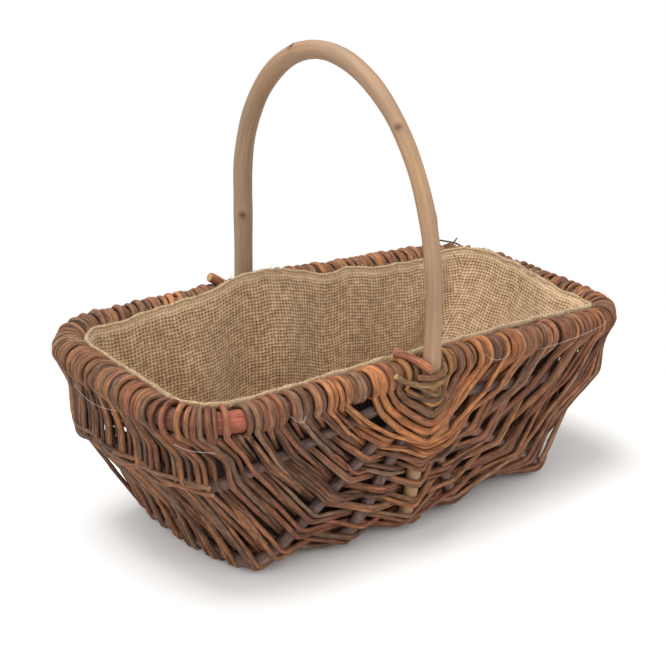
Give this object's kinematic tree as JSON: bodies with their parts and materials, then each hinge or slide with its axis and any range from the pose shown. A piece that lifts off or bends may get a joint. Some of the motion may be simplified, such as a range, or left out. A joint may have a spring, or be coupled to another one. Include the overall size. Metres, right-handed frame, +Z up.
{
  "type": "trug garden basket",
  "caption": "Rectangular trug basket of woven willow rods on bent hoops and ribs, with an arched stick handle across its middle and a hessian liner, for carrying produce and cut flowers.",
  "frame": {"origin": "On the ground under the middle of the basket's length and width, the bottom centre of its bounding box", "axes": "+X along the basket to the right seen from the front, +Y across it to the back, +Z up; the handle arches over from front to back"},
  "size_m": [0.4052, 0.2145, 0.316],
  "materials": {
    "peeled_stick": "dry natural stick with thin bark rubbed off",
    "red_willow": "smooth reddish rod",
    "grey_willow": "dull purple-grey bark",
    "brown_willow": "boiled brown willow bark with a low sheen",
    "hessian": "open plain-woven jute"
  },
  "bodies": {
    "root": {"handle_hoop": "peeled_stick", "rim_hoop": "red_willow", "left_upper_rib": "grey_willow", "left_corner_rib": "grey_willow", "left_keel_rib": "grey_willow", "right_upper_rib": "grey_willow", "right_corner_rib": "grey_willow", "right_keel_rib": "grey_willow", "front_weavers": "brown_willow", "back_weavers": "brown_willow", "front_rim_wraps": "brown_willow", "back_rim_wraps": "brown_willow", "hessian_liner": "hessian"}
  },
  "joints": []
}
